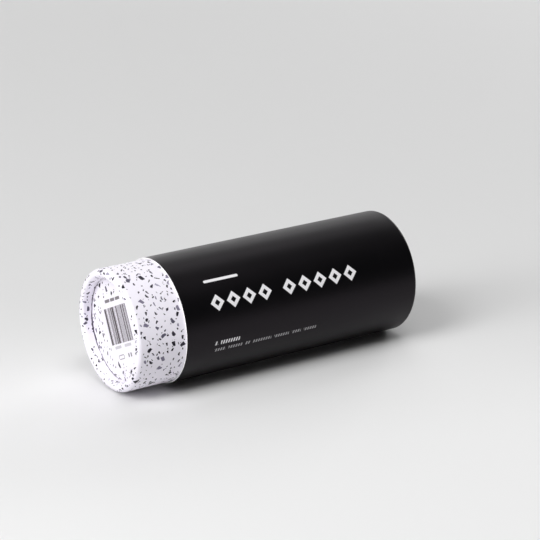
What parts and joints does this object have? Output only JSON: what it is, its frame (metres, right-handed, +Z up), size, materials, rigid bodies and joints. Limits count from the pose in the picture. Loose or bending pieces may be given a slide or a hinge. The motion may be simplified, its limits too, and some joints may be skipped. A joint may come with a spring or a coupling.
{
  "type": "paper tube with slip lid",
  "caption": "Closed paper tube lying on its side, with a rolled rim and recessed disc at each end and a long sleeve lid that slides off along its axis.",
  "frame": {"origin": "middle of the footprint, on the surface that the tube lies on", "axes": "+X along the axis of the tube, from the pale base end to the far end of the lid; +Z up"},
  "size_m": [0.1296, 0.05, 0.0498],
  "materials": {
    "terrazzo_paper": "matt white printed paper with scattered grey and near-black chips",
    "black_paper": "soft-touch matt black paper with plain white marks, and raw white board at the cut edge"
  },
  "bodies": {
    "base": {"base_tube": "terrazzo_paper", "base_disc": "terrazzo_paper"},
    "lid": {"lid_tube": "black_paper", "lid_disc": "black_paper"}
  },
  "joints": [
    {"name": "lid_slide", "type": "slide", "parent": "base", "child": "lid", "axis": [1, 0, 0], "range_m": [0, 0.11]}
  ]
}
